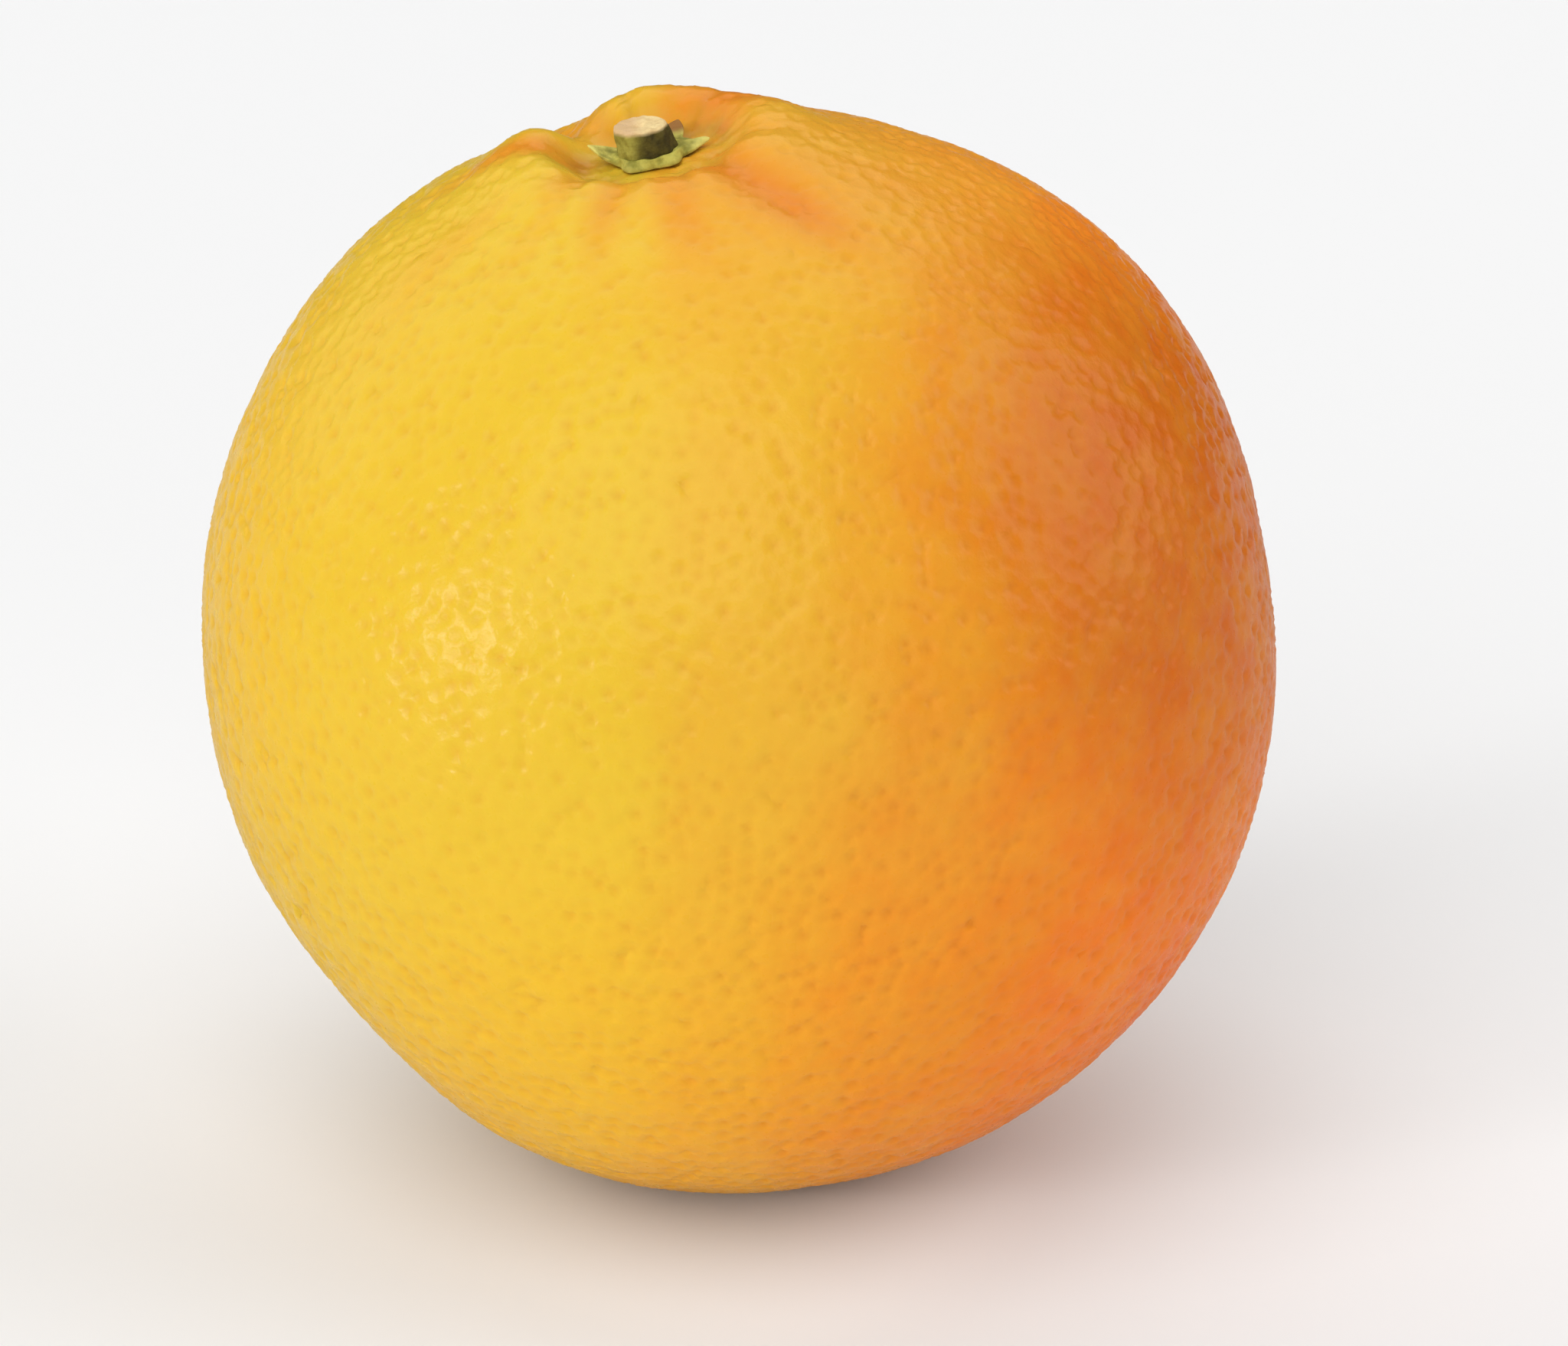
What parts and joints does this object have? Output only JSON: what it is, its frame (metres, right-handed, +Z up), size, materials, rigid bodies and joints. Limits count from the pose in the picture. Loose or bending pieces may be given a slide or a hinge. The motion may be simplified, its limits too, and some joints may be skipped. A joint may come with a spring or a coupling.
{
  "type": "orange",
  "caption": "Whole sweet orange as picked, with a pebbled rind, a lobed collar round the stem end, a green calyx and a cut stem stub.",
  "frame": {"origin": "middle of the flat spot on which the fruit rests", "axes": "+Z up from the surface it rests on, -Y towards the viewer of the fruit's yellower front, +X to that viewer's right; the fruit's own axis leans about 10 degrees from +Z"},
  "size_m": [0.075, 0.0748, 0.0765],
  "materials": {
    "orange_rind": "waxy pitted rind, satin",
    "calyx_green": "dry leafy, matt",
    "cut_stem": "cut woody stem, matt"
  },
  "bodies": {
    "root": {"fruit": "orange_rind", "calyx": "calyx_green", "stem_stub": "cut_stem"}
  },
  "joints": []
}
